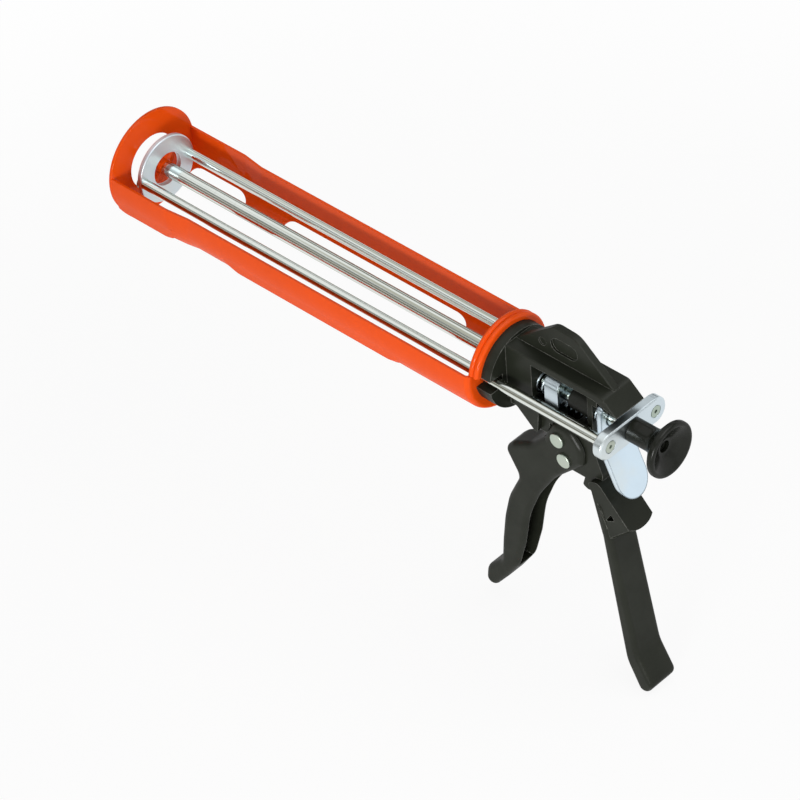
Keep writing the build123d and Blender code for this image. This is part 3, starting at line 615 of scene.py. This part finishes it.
def wound(name, low, high, wire, turns):
    """A spring along X, in the box between two corners: round wire with flat ends."""
    middle = (low + high) / 2
    radius = (high.y - low.y - wire) / 2
    front, rear = high.x - wire / 2, low.x + wire / 2
    places, outward = [], []
    for step, rise in enumerate(coil_rise(turns)):
        angle = math.tau * step / COIL_STEPS
        out = Vector((0, math.cos(angle), math.sin(angle)))
        axis = Vector((front + (rear - front) * rise, middle.y, middle.z))
        places.append(axis + out * radius)
        outward.append(out)
    last = len(places) - 1
    points = []
    for step, (place, out) in enumerate(zip(places, outward)):
        along = places[min(step + 1, last)] - places[max(step - 1, 0)]
        across = along.normalized().cross(out)
        for side in range(WIRE_SIDES):
            angle = math.tau * side / WIRE_SIDES
            points.append(place + (out * math.cos(angle) + across * math.sin(angle)) * wire / 2)
    rings = [range(step * WIRE_SIDES, (step + 1) * WIRE_SIDES) for step in range(last + 1)]
    faces = []
    for ring, ahead in zip(rings, rings[1:]):
        for side in range(WIRE_SIDES):
            beside = (side + 1) % WIRE_SIDES
            faces.append((ring[side], ahead[side], ahead[beside], ring[beside]))
    ends = [tuple(rings[0]), tuple(reversed(rings[-1]))]
    mesh = bpy.data.meshes.new(name)
    mesh.from_pydata(points, [], faces + ends)
    mesh.polygons.foreach_set("use_smooth", [True] * len(faces) + [False] * len(ends))
    mesh.update()
    return bpy.data.objects.new(name, mesh)


class GUN_OT_springs(bpy.types.Operator):
    """Winds the return, pawl and release springs between their two seats"""

    bl_idname = "gun.springs"
    bl_label = "Springs"
    bl_options = {"REGISTER", "UNDO"}

    def execute(self, context):
        self.wind(context, "return", moving="drive", seat_ahead=True)
        self.wind(context, "pawl", moving="drive", seat_ahead=False)
        self.wind(context, "release", moving="release", seat_ahead=True)
        return {"FINISHED"}

    def wind(self, context, job, moving, seat_ahead):
        """One spring, wound in the box of its CAD part, which it hides. Not used: moving, the part
        whose travel would move one end, and seat_ahead, whether the body holds the front end.
        """
        sizes = context.scene.gun_springs
        name = job + "_spring"
        cad(name)
        low, high = (Vector(corner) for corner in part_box(name))
        wire, turns = getattr(sizes, job + "_wire"), getattr(sizes, job + "_turns")
        spring = wound(name + "_coil", low, high, wire, turns)
        context.scene.collection.objects.link(spring)
        dress(context, "spring_steel", [spring])
        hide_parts(name)
        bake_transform(spring)


class GUN_OT_release(bpy.types.Operator):
    """Plates the thumb release"""

    bl_idname = "gun.release"
    bl_label = "Release"
    bl_options = {"REGISTER", "UNDO"}

    def execute(self, context):
        dress(context, "blue_zinc", cad("release_plate"))
        return {"FINISHED"}


class GUN_OT_rods(bpy.types.Operator):
    """Finishes the three rods"""

    bl_idname = "gun.rods"
    bl_label = "Rods"
    bl_options = {"REGISTER", "UNDO"}

    def execute(self, context):
        dress(context, "rod_steel", cad("centre_rod", "push_rod_left", "push_rod_right"))
        return {"FINISHED"}


class GUN_OT_pushers(bpy.types.Operator):
    """Plates the ring pusher and its screws, and paints the star in its middle"""

    bl_idname = "gun.pushers"
    bl_label = "Pushers"
    bl_options = {"REGISTER", "UNDO"}

    def execute(self, context):
        dress(context, "satin_zinc", cad("ring_pusher"))
        dress(context, "pin_zinc", cad("pusher_screws"))
        dress(context, "orange_paint", cad("inner_pusher"))
        return {"FINISHED"}


class GUN_OT_yoke(bpy.types.Operator):
    """Plates the yoke and its screws, and finishes the pull knob"""

    bl_idname = "gun.yoke"
    bl_label = "Yoke and knob"
    bl_options = {"REGISTER", "UNDO"}

    def execute(self, context):
        dress(context, "zinc_plate", cad("yoke_plate"))
        dress(context, "pin_zinc", cad("yoke_screws"))
        dress(context, "black_knob", cad("pull_knob"))
        dress(context, "hole_shade_screw", cad("knob_screw"))
        return {"FINISHED"}


class GUN_OT_stage(bpy.types.Operator):
    """Sets out the floor, the soft lamps and the camera"""

    bl_idname = "gun.stage"
    bl_label = "Studio"
    bl_options = {"REGISTER", "UNDO"}

    def execute(self, context):
        studio = context.scene.gun_studio
        low, high = CAD_BOX
        middle = (low + high) / 2
        self.floor(context, studio, Vector((middle.x, middle.y, low.z)))
        self.world(context, studio)
        self.lamp(context, "lamp_key", middle, KEY_PLACE, KEY_SIZE, studio.key_power)
        self.lamp(context, "lamp_side", middle, SIDE_PLACE, SIDE_SIZE, studio.fill_power)
        self.camera(context, studio)
        context.scene.view_settings.view_transform = "Standard"
        return {"FINISHED"}

    def floor(self, context, studio, centre):
        """A floor that shows white, with the gun's shadow near its middle."""
        mesh = bpy.data.meshes.new("floor")
        corners = ((-1, -1), (1, -1), (1, 1), (-1, 1))
        points = [(x * FLOOR_REACH, y * FLOOR_REACH, centre.z) for x, y in corners]
        mesh.from_pydata(points, [], [(0, 1, 2, 3)])
        floor = bpy.data.objects.new("floor", mesh)
        context.scene.collection.objects.link(floor)
        made = Finish("floor_white")
        colour = made.mix(made.noise(FLOOR_CLOUDS, detail=3), *FLOOR_GREYS)
        lit = made.node("ShaderNodeBsdfDiffuse", None, {"Color": colour})
        white = made.node("ShaderNodeEmission", None, {"Color": WHITE, "Strength": 1.0})
        ends = {0: made.place(), 1: centre}
        away = made.node("ShaderNodeVectorMath", {"operation": "DISTANCE"}, ends)
        near = 1 - made.between(made.value(away, "Value"), *FLOOR_FADE)
        seen = made.white_to_view() * (1 - near * studio.shadow)
        made.output(made.blended(seen, lit, white))
        mesh.materials.append(made.material)

    def world(self, context, studio):
        """A room that is white to the camera and gives an even light."""
        world = bpy.data.worlds.new("studio_room")
        world.use_nodes = True
        context.scene.world = world
        made = Nodes(world.node_tree)
        room = self.background(made, WHITE, studio.room_light)
        white = self.background(made, WHITE, 1.0)
        wall = self.background(made, UNLIT_WALL, 1.0)
        glossy = made.value(made.node("ShaderNodeLightPath"), "Is Glossy Ray")
        mirrored = made.blended(self.dark_walls(made) * glossy, white, wall)
        both = made.blended(made.white_to_view(), room, mirrored)
        made.node("ShaderNodeOutputWorld", None, {"Surface": both.outputs[0]})

    def background(self, made, colour, strength):
        return made.node("ShaderNodeBackground", None, {"Color": colour, "Strength": strength})

    def dark_walls(self, made):
        """How much of the unlit room polished metal shows: a low wall ahead, a strip overhead."""
        towards = made.node("ShaderNodeTexCoord").outputs["Generated"]
        axes = made.node("ShaderNodeSeparateXYZ", None, {0: towards})
        ahead, height = made.value(axes, "X"), made.value(axes, "Z")
        low = made.between(ahead, -0.1, 0.4) * (1 - made.between(height, 0.16, 0.36))
        strip = made.between(height, 0.44, 0.50) * (1 - made.between(height, 0.62, 0.70))
        return (low * 0.95 + strip * 0.8).at_most(1.0)

    def lamp(self, context, name, towards, offset, size, power):
        """A square soft lamp, that far from the point that it faces."""
        light = bpy.data.lights.new(name, "AREA")
        light.shape = "SQUARE"
        light.size = size
        light.energy = power
        lamp = bpy.data.objects.new(name, light)
        lamp.location = towards + offset
        lamp.rotation_euler = (-offset).to_track_quat("-Z", "Y").to_euler()
        context.scene.collection.objects.link(lamp)

    def camera(self, context, studio):
        """The camera that took the photograph, as far as it can be told."""
        data = bpy.data.cameras.new("photo_camera")
        data.sensor_fit = "HORIZONTAL"
        data.sensor_width = SENSOR
        data.lens = studio.lens
        data.clip_start, data.clip_end = CAMERA_CLIP
        camera = bpy.data.objects.new("photo_camera", data)
        turn = Matrix((CAMERA_RIGHT, CAMERA_UP, CAMERA_BACK)).transposed()
        camera.matrix_world = Matrix.Translation(CAMERA_PLACE) @ turn.to_4x4()
        context.scene.collection.objects.link(camera)
        context.scene.camera = camera


OPERATORS = (
    GUN_OT_cradle,
    GUN_OT_body,
    GUN_OT_trigger,
    GUN_OT_drive,
    GUN_OT_springs,
    GUN_OT_release,
    GUN_OT_rods,
    GUN_OT_pushers,
    GUN_OT_yoke,
    GUN_OT_stage,
)


class GUN_PT_panel(bpy.types.Panel):
    """Lists the gun's settings and pieces"""

    bl_idname = "GUN_PT_panel"
    bl_label = "Cartridge gun"
    bl_space_type = "VIEW_3D"
    bl_region_type = "UI"
    bl_category = "Cartridge gun"

    def draw(self, context):
        scene = context.scene
        for group in (scene.gun_finishes, scene.gun_springs, scene.gun_studio):
            for name in group.__annotations__:
                self.layout.prop(group, name)
        for operator in OPERATORS:
            self.layout.operator(operator.bl_idname)


CLASSES = (GunFinishes, GunSprings, GunStudio, *OPERATORS, GUN_PT_panel)


def register():
    for cls in CLASSES:
        bpy.utils.register_class(cls)
    bpy.types.Scene.gun_finishes = bpy.props.PointerProperty(type=GunFinishes)
    bpy.types.Scene.gun_springs = bpy.props.PointerProperty(type=GunSprings)
    bpy.types.Scene.gun_studio = bpy.props.PointerProperty(type=GunStudio)


def unregister():
    del bpy.types.Scene.gun_studio
    del bpy.types.Scene.gun_springs
    del bpy.types.Scene.gun_finishes
    for cls in reversed(CLASSES):
        bpy.utils.unregister_class(cls)


def main():
    register()
    for operator in OPERATORS:
        area, name = operator.bl_idname.split(".")
        getattr(getattr(bpy.ops, area), name)()


if __name__ == "__main__":
    main()
